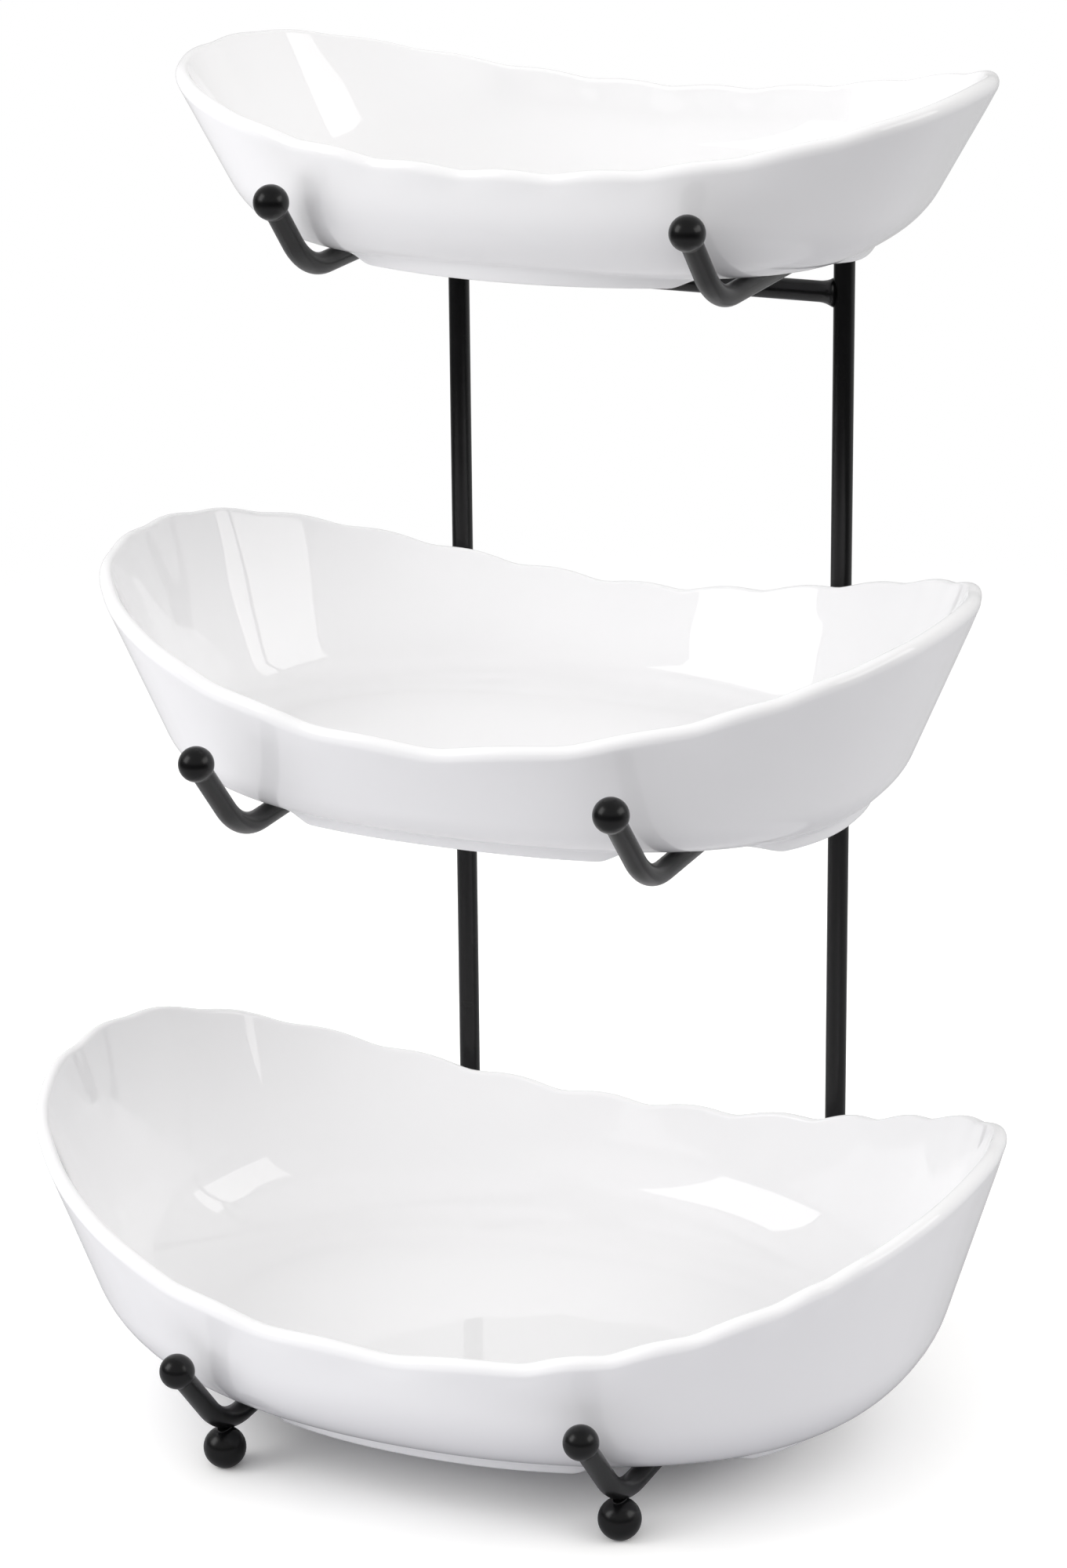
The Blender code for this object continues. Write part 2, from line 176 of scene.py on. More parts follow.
def blendColour(tree, share, first, second):
    ends = {"A": first, "B": second}
    node = addNode(tree, "ShaderNodeMix", data_type="RGBA", clamp_result=False)
    for socket in node.inputs:
        if socket.name == "Factor" and socket.type == "VALUE":
            tree.links.new(share, socket)
        elif socket.type == "RGBA":
            value = ends[socket.name]
            if isinstance(value, bpy.types.NodeSocket):
                tree.links.new(value, socket)
            else:
                socket.default_value = (*value, 1)
    return node.outputs[2]


def bump(tree, height, strength, depth, under=None):
    wires = {"Height": height, "Strength": strength, "Distance": depth}
    if under is not None:
        wires["Normal"] = under
    return addNode(tree, "ShaderNodeBump", wires).outputs["Normal"]


def makeCoat():
    material, tree, shader, place = newMaterial("satinBlackCoat")
    patches = noise(tree, place, coat["patchScale"])
    weld = addNode(tree, "ShaderNodeAttribute", attribute_name="weld").outputs["Fac"]
    colour = blendColour(tree, patches, coat["colour"], coat["fadedColour"])
    tree.links.new(colour, shader.inputs["Base Color"])
    tree.links.new(spread(tree, patches, *coat["roughness"]), shader.inputs["Roughness"])
    shader.inputs["Specular IOR Level"].default_value = coat["shine"]
    lumps = maths(tree, "MULTIPLY", noise(tree, place, coat["weldScale"]), weld)
    rough = bump(tree, lumps, 1, coat["weldDepth"])
    grain = noise(tree, place, coat["grainScale"], 2)
    normal = bump(tree, grain, coat["grainStrength"], coat["grainDepth"], rough)
    tree.links.new(normal, shader.inputs["Normal"])
    return material


def makeGlaze():
    material, tree, shader, place = newMaterial("whiteGlaze")
    bare = addNode(tree, "ShaderNodeAttribute", attribute_name="bare").outputs["Fac"]
    patches = noise(tree, place, glaze["poolScale"], 2)
    glazed = blendColour(tree, patches, glaze["poolColour"], glaze["colour"])
    colour = blendColour(tree, bare, glazed, glaze["biscuitColour"])
    tree.links.new(colour, shader.inputs["Base Color"])
    gloss = spread(tree, noise(tree, place, glaze["waveScale"]), *glaze["roughness"])
    roughness = spread(tree, bare, gloss, glaze["biscuitRoughness"])
    tree.links.new(roughness, shader.inputs["Roughness"])
    waves = noise(tree, place, glaze["waveScale"], 1)
    normal = bump(tree, waves, glaze["waveStrength"], glaze["waveDepth"])
    tree.links.new(normal, shader.inputs["Normal"])
    return material


satinBlackCoat = makeCoat()
whiteGlaze = makeGlaze()
print("materials made")

# Wire stand

wire = {
    "radius": 3.6 * mm,
    "seatGap": 0.3 * mm,       # between the arms and the bowls' undersides
    "bendRadius": 34 * mm,     # of the wire's centre line
    "endSlope": math.radians(47),
    "bendSteps": 20,
    "ringStep": 0.7 * mm,
    "facets": 40,
    "turnedFacets": 48,        # of the posts and balls
    "mergeDistance": 0.005 * mm,
    "sharpAngle": math.radians(50),
    "topRound": 0.6 * mm,      # the posts' rounded ends
    "topSteps": 6,
}
weld = {
    "radius": 5 * mm,          # a flare where it meets the post
    "length": 5 * mm,
    "wrap": 2 * mm,            # how far in front of the post's axis a flared end starts
    "lumpSize": 0.3 * mm,
    "lumpScale": 420.0,
}


def flareShare(tree, distance, length, wrap):
    # 1 at the post's surface, fading along the wire and rounding off inside the post
    travelled = maths(tree, "DIVIDE", maths(tree, "MAXIMUM", distance, 0), length)
    outside = maths(tree, "SUBTRACT", 1, travelled, clamp=True)
    inside = maths(tree, "DIVIDE", maths(tree, "MINIMUM", distance, 0), wrap)
    hollow = maths(tree, "SUBTRACT", 1, maths(tree, "MULTIPLY", inside, inside), clamp=True)
    return maths(tree, "MULTIPLY", maths(tree, "MULTIPLY", outside, outside), hollow)


def makeWireTree():
    floats = ("Wire Radius", "Bend Radius", "Ring Step", "Flare Radius", "Flare Length")
    floats += ("Flare Wrap", "Start Flare", "End Flare", "Lump Size", "Lump Scale")
    tree, given = newShapeTree("weldedWire", floats, ("Bend Steps", "Facets"))
    path = addNode(tree, "GeometryNodeMeshToCurve", {"Mesh": given["Geometry"]}).outputs[0]
    wires = {
        "Curve": path, "Count": given["Bend Steps"], "Radius": given["Bend Radius"],
        "Limit Radius": True,
    }
    path = addNode(tree, "GeometryNodeFilletCurve", wires, mode="POLY").outputs[0]
    wires = {"Curve": path, "Length": given["Ring Step"]}
    path = addNode(tree, "GeometryNodeResampleCurve", wires, mode="LENGTH").outputs[0]
    fromStart = addNode(tree, "GeometryNodeSplineParameter").outputs["Length"]
    whole = addNode(tree, "GeometryNodeSplineLength").outputs["Length"]
    fromEnd = maths(tree, "SUBTRACT", whole, fromStart)
    shares = []
    for travelled, strength in ((fromStart, "Start Flare"), (fromEnd, "End Flare")):
        distance = maths(tree, "SUBTRACT", travelled, given["Flare Wrap"])
        share = flareShare(tree, distance, given["Flare Length"], given["Flare Wrap"])
        shares.append(maths(tree, "MULTIPLY", share, given[strength]))
    flare = maths(tree, "MAXIMUM", *shares)
    wires = {"Geometry": path, "Name": "weld", "Value": flare}
    path = addNode(tree, "GeometryNodeStoreNamedAttribute", wires, domain="POINT").outputs[0]
    extra = maths(tree, "SUBTRACT", given["Flare Radius"], given["Wire Radius"])
    size = maths(tree, "ADD", given["Wire Radius"], maths(tree, "MULTIPLY", extra, flare))
    wires = {"Resolution": given["Facets"], "Radius": 1}
    ring = addNode(tree, "GeometryNodeCurvePrimitiveCircle", wires).outputs["Curve"]
    wires = {"Curve": path, "Profile Curve": ring, "Scale": size, "Fill Caps": True}
    rod = addNode(tree, "GeometryNodeCurveToMesh", wires).outputs[0]
    place = addNode(tree, "GeometryNodeInputPosition").outputs[0]
    lumps = maths(tree, "SUBTRACT", noise(tree, place, given["Lump Scale"], 2), 0.5)
    lumps = maths(tree, "MULTIPLY", lumps, given["Lump Size"])
    lumps = maths(tree, "MULTIPLY", lumps, named(tree, "weld"))
    lumps = maths(tree, "MULTIPLY", lumps, 2)   # the noise goes 0.5 to either side
    normal = addNode(tree, "GeometryNodeInputNormal").outputs["Normal"]
    offset = vectorMaths(tree, "SCALE", {0: normal, "Scale": lumps})
    wires = {"Geometry": rod, "Offset": offset}
    rod = addNode(tree, "GeometryNodeSetPosition", wires).outputs[0]
    closeTree(tree, rod, given["Material"])
    return tree


def wireMesh(name, points, flares=(0.0, 0.0), closed=False, changes=()):
    path = bpy.data.meshes.new(name + "Path")
    links = [(first, first + 1) for first in range(len(points) - 1)]
    if closed:
        links.append((len(points) - 1, 0))
    path.from_pydata(points, links, [])
    values = {
        "Wire Radius": wire["radius"],
        "Bend Radius": wire["bendRadius"],
        "Bend Steps": wire["bendSteps"],
        "Ring Step": wire["ringStep"],
        "Facets": wire["facets"],
        "Flare Radius": weld["radius"],
        "Flare Length": weld["length"],
        "Flare Wrap": wire["radius"] - weld["wrap"],
        "Start Flare": flares[0],
        "End Flare": flares[1],
        "Lump Size": weld["lumpSize"],
        "Lump Scale": weld["lumpScale"],
        "Material": satinBlackCoat,
    }
    values.update(changes)
    mesh = runTree(name, path, wireTree, values)
    mesh.set_sharp_from_angle(angle=wire["sharpAngle"])
    return mesh


def turnedMesh(name, profile):
    # The profile is (radius, height) pairs from one end of the axis to the other
    shape = bmesh.new()
    outline = [shape.verts.new((radius, 0, height)) for radius, height in profile]
    edges = [shape.edges.new(pair) for pair in zip(outline, outline[1:])]
    bmesh.ops.spin(
        shape, geom=outline + edges, cent=(0, 0, 0), axis=(0, 0, 1), angle=math.tau,
        steps=wire["turnedFacets"],
    )
    bmesh.ops.remove_doubles(shape, verts=shape.verts, dist=wire["mergeDistance"])
    bmesh.ops.recalc_face_normals(shape, faces=shape.faces)
    mesh = bpy.data.meshes.new(name)
    shape.to_mesh(mesh)
    shape.free()
    mesh.materials.append(satinBlackCoat)
    mesh.shade_smooth()
    return mesh


def arc(radius, centre, start, end, steps):
    # Angles are counted from straight down
    points = []
    for step in range(steps + 1):
        angle = start + (end - start) * step / steps
        across, rise = radius * math.sin(angle), -radius * math.cos(angle)
        points.append((centre[0] + across, centre[1] + rise))
    return points


wireTree = makeWireTree()
postY = middle("left_post").y


def armLevel(tier):
    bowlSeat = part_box(tier + "_bowl")[0].z + bowls[tier]["ringDrop"]
    return bowlSeat - wire["seatGap"] - wire["radius"]


def showSteel(node, mesh):
    showPiece(node + "_coated", mesh, "stand", node)


def makePosts():
    radius, soft = wire["radius"], wire["topRound"]
    for side in sides:
        node = side + "_post"
        low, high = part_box(node)
        corner = (radius - soft, high.z - soft)
        top = arc(soft, corner, math.pi / 2, math.pi, wire["topSteps"])
        profile = [(0, low.z), (radius, low.z)] + top + [(0, high.z)]
        mesh = turnedMesh(node + "_coated", profile)
        mesh.transform(Matrix.Translation((middle(node).x, postY, 0)))
        mesh.set_sharp_from_angle(angle=wire["sharpAngle"])
        showSteel(node, mesh)


def makeCrossbars():
    reach = abs(middle("left_post").x) - weld["wrap"]
    for tier in tiers:
        node = tier + "_crossbar"
        height = middle(node).z
        points = [Vector((-reach, postY, height)), Vector((reach, postY, height))]
        showSteel(node, wireMesh(node + "_coated", points, (1.0, 1.0)))


def makeArms():
    slope = Vector((0, -math.cos(wire["endSlope"]), math.sin(wire["endSlope"])))
    for tier in tiers:
        for side in sides:
            node = tier + "_" + side + "_arm"
            end = middle(node + "_ball")
            level = armLevel(tier)
            corner = end - slope * ((end.z - level) / slope.z)
            start = Vector((end.x, postY - weld["wrap"], level))
            showSteel(node, wireMesh(node + "_coated", [start, corner, end], (1.0, 0.0)))


ball = {
    "steps": 24,
    "beadRadius": 0.45 * mm,   # the thin weld round the wire's end
    "beadSteps": 6,
}


def makeArmBalls():
    downArm = Vector((0, math.cos(wire["endSlope"]), -math.sin(wire["endSlope"])))
    turn = downArm.to_track_quat("Z", "X").to_matrix().to_4x4()
    bead = ball["beadRadius"]
    for tier in tiers:
        for side in sides:
            node = tier + "_" + side + "_arm_ball"
            low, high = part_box(node)
            radius = (high.x - low.x) / 2
            seat = math.sqrt(radius**2 - wire["radius"] ** 2)
            seatAngle = math.pi - math.asin((wire["radius"] + bead) / radius)
            beadCentre = (wire["radius"], seat)
            profile = arc(radius, (0, 0), 0, seatAngle, ball["steps"])
            profile += arc(bead, beadCentre, math.pi / 2, math.pi, ball["beadSteps"])
            mesh = turnedMesh(node + "_coated", profile + [(0, seat + bead)])
            mesh.transform(Matrix.Translation(middle(node)) @ turn)
            showSteel(node, mesh)


foot = {
    "flatDepth": 0.3 * mm,
    "extraRadius": 0.25 * mm,  # the photo's feet are a little larger than the solids
    "sink": 0.7 * mm,          # how deep the arm's bend sits in the front feet
    "beadRadius": 0.4 * mm,
    "beadSteps": 60,
    "beadRingStep": wire["ringStep"] / 3,
    "steps": 28,
}


def footBead(name, radius, centre):
    # Where the ball's top meets the underside of the bent wire, both taken as parabolas
    ballCurve = 1 / (2 * radius)
    acrossCurve = 1 / (2 * wire["radius"])
    alongCurve = 1 / (2 * (wire["bendRadius"] + wire["radius"]))
    points = []
    for step in range(foot["beadSteps"]):
        angle = math.tau * step / foot["beadSteps"]
        across, along = math.cos(angle), math.sin(angle)
        rise = across**2 * (ballCurve + acrossCurve) + along**2 * (ballCurve + alongCurve)
        size = math.sqrt(foot["sink"] / rise)
        drop = radius - math.sqrt(radius**2 - size**2)
        points.append(centre + Vector((across * size, along * size, radius - drop)))
    changes = {
        "Wire Radius": foot["beadRadius"], "Bend Radius": 0.0, "Ring Step": foot["beadRingStep"],
    }
    return wireMesh(name, points, closed=True, changes=changes)


def makeFeet():
    for end in ("front", "rear"):
        for side in sides:
            node = end + "_" + side + "_foot"
            low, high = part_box(node)
            radius = (high.x - low.x) / 2 + foot["extraRadius"]
            centre = Vector((middle(node).x, middle(node).y, radius - foot["flatDepth"]))
            flatAngle = math.acos(centre.z / radius)
            profile = [(0, -centre.z)] + arc(radius, (0, 0), flatAngle, math.pi, foot["steps"])
            mesh = turnedMesh(node + "_coated", profile)
            mesh.transform(Matrix.Translation(centre))
            if end == "front":
                shape = bmesh.new()
                shape.from_mesh(mesh)
                shape.from_mesh(footBead(node + "_bead", radius, centre))
                shape.to_mesh(mesh)
                shape.free()
            showSteel(node, mesh)


# Bowls

shell = {                      # shared by the three bowls
    "wall": 5 * mm,
    "lipSize": (2.7 * mm, 3.2 * mm),   # its round outer half, across and up
    "lipEdge": 1.5 * mm,       # the height of its tighter inner half
    "ringThickness": 5 * mm,
    "ringDraft": 1 * mm,
    "ringFillet": 1.6 * mm,
    "ringEdge": 0.9 * mm,
    "notchOffset": 6 * mm,     # outward from the post's axis
    "notchWidth": 42 * mm,
    "notchEdge": 10 * mm,
    "floorDish": 0.4 * mm,
    "columnsPerLobe": 14,
    "outlineSamples": 2880,
    "ringSteps": 8,
    "ringFlatSteps": 3,
    "turnSteps": 12,
    "wallSteps": 16,
    "wallCrowding": 1.5,       # more than 1 draws the wall's steps up towards the lip
    "lipSteps": 11,
    "edgeSteps": 7,
    "floorSteps": 6,
    "turnLimitShare": 0.97,    # keeps the underside's turn clear of the lip
    "firstLean": math.radians(70),     # a guess at the wall's lean, which is then found by trying
    "leanTries": 8,
}
scallop = {
    # how far down the wall the lobes fade, at the bowl's sides and ends
    "outsideReach": (6 * mm, 9 * mm),
    "insideReach": (18 * mm, 34 * mm),
    "reachLimitShare": 0.8,
    "outsideStrength": 0.85,
    "endLiftShare": 0.5,       # at the ends, of the lift at the sides
    "valleySoftness": 0.4,     # 0 gives sharp valleys
    "crestShare": 0.35,        # of a lobe's size, above the plain rim
}
# The valleys between a bowl's lobes are numbered round the rim from its right tip, past the back:
# a valley's number, how far round the rim it lies, and how strong the lobes are there
bowls = {
    "bottom": {
        "body": "lower_dish",
        "rimLength": 326.5 * mm, "rimWidth": 232.1 * mm, "rimSquareness": 2.38,
        "sideHeight": 48.6 * mm, "endHeight": 91.1 * mm, "sweepPower": 2.19,
        "baseLength": 211.7 * mm, "baseWidth": 143.6 * mm, "baseSquareness": 2.28,
        "turnRadius": 42.3 * mm,
        "ringLength": 233.7 * mm, "ringWidth": 165.9 * mm, "ringSquareness": 2.12,
        "ringDrop": 2.7 * mm, "lobeDepth": 1 * mm, "lobeLift": 1.9 * mm,
        "valleys": (
            (0, 0.075, 1), (1, 0.114, 1), (3, 0.173, 1), (12, 0.508, 0.8), (13, 0.545, 0.3),
            (15, 0.62, 0.3), (16, 0.663, 1), (17, 0.704, 1), (19, 0.806, 1), (22, 0.895, 1),
            (24, 0.934, 0.8), (25, 0.981, 0.4), (26, 1.028, 0.7), (27, 1.075, 1),
        ),
    },
    "middle": {
        "body": "middle_dish",
        "rimLength": 292 * mm, "rimWidth": 201.8 * mm, "rimSquareness": 2.33,
        "sideHeight": 39.2 * mm, "endHeight": 70.5 * mm, "sweepPower": 1.79,
        "baseLength": 203.4 * mm, "baseWidth": 134.9 * mm, "baseSquareness": 2.44,
        "turnRadius": 24.7 * mm,
        "ringLength": 223.4 * mm, "ringWidth": 149.6 * mm, "ringSquareness": 2.37,
        "ringDrop": 2.4 * mm, "lobeDepth": 0.9 * mm, "lobeLift": 1.5 * mm,
        "valleys": (
            (0, 0.0385, 1), (10, 0.427, 1), (13, 0.53, 0.5), (15, 0.61, 0.4), (16, 0.653, 1),
            (17, 0.7035, 1), (19, 0.814, 1), (20, 0.8635, 1), (21, 0.8965, 0.8), (23, 0.965, 0.4),
            (24, 1.0385, 1),
        ),
    },
    "top": {
        "body": "upper_dish",
        "rimLength": 268.8 * mm, "rimWidth": 169 * mm, "rimSquareness": 2.63,
        "sideHeight": 36.6 * mm, "endHeight": 57 * mm, "sweepPower": 2.04,
        "baseLength": 167.6 * mm, "baseWidth": 108.5 * mm, "baseSquareness": 2.86,
        "turnRadius": 35.7 * mm,
        "ringLength": 194.2 * mm, "ringWidth": 132.4 * mm, "ringSquareness": 2.1,
        "ringDrop": 2.4 * mm, "lobeDepth": 0.7 * mm, "lobeLift": 1.3 * mm,
        "valleys": (
            (0, 0.0417, 1), (11, 0.505, 0.6), (12, 0.543, 0.3), (14, 0.617, 0.4), (15, 0.655, 1),
            (21, 0.907, 0.8), (22, 0.949, 0.4), (23, 1.0417, 1),
        ),
    },
}


def smoothStep(value):
    part = min(max(value, 0), 1)
    return part * part * (3 - 2 * part)


def outlinePoint(bowl, part, angle):
    # A rounded-off rectangle, more square as its power grows
    power = bowl[part + "Squareness"]
    along, across = math.cos(angle), math.sin(angle)
    size = (abs(along) ** power + abs(across) ** power) ** (-1 / power)
    halfLength, halfWidth = bowl[part + "Length"] / 2, bowl[part + "Width"] / 2
    return Vector((halfLength * size * along, halfWidth * size * across))


def lobeCount(bowl):
    return bowl["valleys"][-1][0]


def betweenValleys(bowl, number):
    # The place and strength at any count of lobes from the first valley
    for before, after in zip(bowl["valleys"], bowl["valleys"][1:]):
        if number <= after[0]:
            break
    share = (number - before[0]) / (after[0] - before[0])
    return [first + (last - first) * share for first, last in zip(before[1:], after[1:])]


def rimColumns(bowl):
    # The upright sections round a bowl: each one's angle and how strong the lobes are there
    steps = shell["outlineSamples"]
    samples = [math.tau * step / steps for step in range(steps + 1)]
    points = [outlinePoint(bowl, "rim", angle) for angle in samples]
    travelled = [0]
    for before, after in zip(points, points[1:]):
        travelled.append(travelled[-1] + (after - before).length)
    columns = []
    for column in range(lobeCount(bowl) * shell["columnsPerLobe"]):
        place, size = betweenValleys(bowl, column / shell["columnsPerLobe"])
        wanted = travelled[-1] * (place % 1)
        sample = bisect_right(travelled, wanted) - 1
        part = (wanted - travelled[sample]) / (travelled[sample + 1] - travelled[sample])
        angle = samples[sample] + (samples[sample + 1] - samples[sample]) * part
        columns.append((angle, size))
    return columns


def lipSection(bowl, out, up):
    # The lip follows the straight wall's lean: a round outer half, a tighter inner one, and its
    # furthest and highest points where the rim's measures say
    across, rise = shell["lipSize"]
    edgeAcross, edgeRise = shell["wall"] - across, shell["lipEdge"]
    turnEnd = shell["firstLean"]
    for attempt in range(shell["leanTries"]):
        along = Vector((math.cos(turnEnd), math.sin(turnEnd)))
        facing = Vector((along.y, -along.x))
        highest = math.hypot(edgeAcross * facing.y, edgeRise * along.y)
        highest += (rise - edgeRise) * along.y
        centre = Vector((out - math.hypot(across * facing.x, rise * along.x), up - highest))
        top = centre + facing * across
        turn = min(bowl["turnRadius"], shell["turnLimitShare"] * top.length_squared / (2 * top.y))
        lean = math.atan2(top.y - turn, top.x) - math.acos(turn / math.hypot(top.x, top.y - turn))
        turnEnd = lean + math.pi / 2
    outer = {"centre": centre, "across": facing * across, "rise": along * rise, "from": 0}
    inner = {
        "centre": centre + along * (rise - edgeRise), "across": facing * edgeAcross,
        "rise": along * edgeRise, "from": math.pi / 2,
    }
    return {"turn": turn, "turnEnd": turnEnd, "outerLip": outer, "innerLip": inner}


def onLip(half, share):
    angle = half["from"] + share * math.pi / 2
    return half["centre"] + half["across"] * math.cos(angle) + half["rise"] * math.sin(angle)


def sectionAt(bowl, angle):
    # The wall's main measures on one upright section
    base = outlinePoint(bowl, "base", angle)
    rim = outlinePoint(bowl, "rim", angle)
    section = {"base": base, "outward": (rim - base).normalized(), "out": (rim - base).length}
    section["endShare"] = abs(2 * rim.x / bowl["rimLength"]) ** bowl["sweepPower"]
    rise = bowl["endHeight"] - bowl["sideHeight"]
    section["up"] = bowl["sideHeight"] + rise * section["endShare"]
    section.update(lipSection(bowl, section["out"], section["up"]))
    ring = outlinePoint(bowl, "ring", angle)
    section["ringOut"] = (ring - base).dot(section["outward"])
    notchEnd = (shell["notchWidth"] + shell["notchEdge"]) / 2
    notchMiddle = abs(middle("left_post").x) + shell["notchOffset"]
    section["notch"] = smoothStep((notchEnd - abs(abs(ring.x) - notchMiddle)) / shell["notchEdge"])
    return section


def onTurn(section, angle, depth=0):
    radius = section["turn"] - depth
    return radius * math.sin(angle), section["turn"] - radius * math.cos(angle)


def underside(section, out):
    held = min(max(out, 0), section["turn"])
    return section["turn"] - math.sqrt(section["turn"] ** 2 - held**2)


def ringStations(bowl, section):
    # Across the foot ring: up its inner flank, along its flat foot and down its outer flank
    start = section["ringOut"] - shell["ringThickness"] - shell["ringDraft"]
    flatStart = section["ringOut"] - shell["ringThickness"] + shell["ringEdge"]
    flatEnd = section["ringOut"] - shell["ringEdge"]
    end = section["ringOut"] + shell["ringFillet"]
    steps, flatSteps = shell["ringSteps"], shell["ringFlatSteps"]
    shares = []
    for step in range(steps + 1):
        shares.append((start + (flatStart - start) * step / steps, step / steps))
    for step in range(1, flatSteps):
        shares.append((flatStart + (flatEnd - flatStart) * step / flatSteps, 1))
    for step in range(steps + 1):
        shares.append((flatEnd + (end - flatEnd) * step / steps, 1 - step / steps))
    stations = []
    for out, share in shares:
        lowered = smoothStep(share) * (1 - section["notch"])
        height = underside(section, out) * (1 - lowered) - bowl["ringDrop"] * lowered
        bare = 1 if share == 1 and section["notch"] < 0.5 else 0
        stations.append((out, height, 0, bare))
    return stations


def wallStations(section, depth):
    # The straight part of the wall, with how much of the scallops each height takes
    foot = Vector(onTurn(section, section["turnEnd"], depth))
    lip = onLip(section["innerLip"], 1) if depth else onLip(section["outerLip"], 0)
    straight = (lip - foot).length
    atSide, atEnd = scallop["insideReach"] if depth else scallop["outsideReach"]
    reach = atSide + (atEnd - atSide) * section["endShare"]
    reach = min(reach, straight * scallop["reachLimitShare"])
    strength = 1 if depth else scallop["outsideStrength"]
    stations = []
    for step in range(1, shell["wallSteps"]):
        share = 1 - (1 - step / shell["wallSteps"]) ** shell["wallCrowding"]
        place = foot.lerp(lip, share)
        fade = smoothStep(1 - straight * (1 - share) / reach) * strength
        stations.append((place.x, place.y, fade, 0))
    return stations


def lipStations(section):
    outer, inner = section["outerLip"], section["innerLip"]
    steps = shell["lipSteps"]
    places = [onLip(outer, step / steps) for step in range(steps + 1)]
    steps = shell["edgeSteps"]
    places += [onLip(inner, step / steps) for step in range(1, steps + 1)]
    stations = []
    for number, place in enumerate(places):
        inward = smoothStep(number / (len(places) - 1))
        strength = scallop["outsideStrength"] + (1 - scallop["outsideStrength"]) * inward
        stations.append((place.x, place.y, strength, 0))
    return stations


def wallOutline(bowl, section):
    stations = ringStations(bowl, section)
    start = math.asin(min((section["ringOut"] + shell["ringFillet"]) / section["turn"], 1))
    for step in range(1, shell["turnSteps"] + 1):
        angle = start + (section["turnEnd"] - start) * step / shell["turnSteps"]
        stations.append((*onTurn(section, angle), 0, 0))
    stations += wallStations(section, 0)
    stations += lipStations(section)
    stations += wallStations(section, shell["wall"])[::-1]
    for step in range(shell["turnSteps"], -1, -1):
        angle = section["turnEnd"] * step / shell["turnSteps"]
        stations.append((*onTurn(section, angle, shell["wall"]), 0, 0))
    return stations


def closeMiddle(shape, ringVerts, dish):
    # Rings that shrink to a centre point, dished a little
    middlePoint = sum((vert.co for vert in ringVerts), Vector()) / len(ringVerts)
    outer = ringVerts
    for step in range(1, shell["floorSteps"] + 1):
        share = 1 - step / shell["floorSteps"]
        lowered = Vector((0, 0, dish * (1 - share**2)))
        if step == shell["floorSteps"]:
            hub = shape.verts.new(middlePoint - lowered)
            for here, there in zip(outer, outer[1:] + outer[:1]):
                shape.faces.new((here, there, hub))
        else:
            inner = []
            for vert in ringVerts:
                inner.append(shape.verts.new(middlePoint.lerp(vert.co, share) - lowered))
            for here in range(len(inner)):
                there = (here + 1) % len(inner)
                shape.faces.new((outer[here], outer[there], inner[there], inner[here]))
            outer = inner


def bowlShell(name, bowl):
    shape = bmesh.new()
    keys = ("turnShare", "fade", "endShare", "bare")
    layers = {key: shape.verts.layers.float.new(key) for key in keys}
    outwardLayer = shape.verts.layers.float_vector.new("outward")
    places = rimColumns(bowl)
    columns = []
    for number, (angle, size) in enumerate(places):
        section = sectionAt(bowl, angle)
        column = []
        for out, up, fade, bare in wallOutline(bowl, section):
            plan = section["base"] + section["outward"] * out
            vert = shape.verts.new((plan.x, plan.y, up))
            vert[layers["turnShare"]] = number / len(places)
            vert[layers["fade"]] = fade * size
            vert[layers["endShare"]] = section["endShare"]
            vert[layers["bare"]] = bare
            vert[outwardLayer] = (*section["outward"], 0)
            column.append(vert)
        columns.append(column)
    for here, there in zip(columns, columns[1:] + columns[:1]):
        for low in range(len(here) - 1):
            shape.faces.new((here[low], there[low], there[low + 1], here[low + 1]))
    closeMiddle(shape, [column[0] for column in columns], 0)
    closeMiddle(shape, [column[-1] for column in columns], shell["floorDish"])
    bmesh.ops.recalc_face_normals(shape, faces=shape.faces)
    mesh = bpy.data.meshes.new(name + "Shell")
    shape.to_mesh(mesh)
    shape.free()
    return mesh


def makeScallopTree():
    floats = ("Depth", "Side Lift", "End Lift", "Valley Softness", "Crest Share")
    tree, given = newShapeTree("scallopedRim", floats, ("Lobes",))
    turn = maths(tree, "MULTIPLY", given["Lobes"], named(tree, "turnShare"))
    wave = maths(tree, "SINE", maths(tree, "MULTIPLY", turn, math.pi))
    # Round lobes with softened valleys: 0 on a crest and -1 in a valley, before they are raised
    softness = given["Valley Softness"]
    soft = maths(tree, "MULTIPLY", softness, softness)
    crest = maths(tree, "SQRT", maths(tree, "ADD", soft, 1))
    lobe = maths(tree, "SQRT", maths(tree, "ADD", maths(tree, "MULTIPLY", wave, wave), soft))
    swing = maths(tree, "SUBTRACT", crest, softness)
    lobe = maths(tree, "DIVIDE", maths(tree, "SUBTRACT", lobe, crest), swing)
    lobe = maths(tree, "ADD", lobe, given["Crest Share"])
    lobe = maths(tree, "MULTIPLY", lobe, named(tree, "fade"))
    depth = maths(tree, "MULTIPLY", lobe, given["Depth"])
    outward = named(tree, "outward", "FLOAT_VECTOR")
    aside = vectorMaths(tree, "SCALE", {0: outward, "Scale": depth})
    lift = spread(tree, named(tree, "endShare"), given["Side Lift"], given["End Lift"])
    wires = {"Z": maths(tree, "MULTIPLY", lobe, lift)}
    upward = addNode(tree, "ShaderNodeCombineXYZ", wires).outputs[0]
    offset = vectorMaths(tree, "ADD", {0: aside, 1: upward})
    wires = {"Geometry": given["Geometry"], "Offset": offset}
    moved = addNode(tree, "GeometryNodeSetPosition", wires).outputs[0]
    closeTree(tree, moved, given["Material"])
    return tree


scallopTree = makeScallopTree()


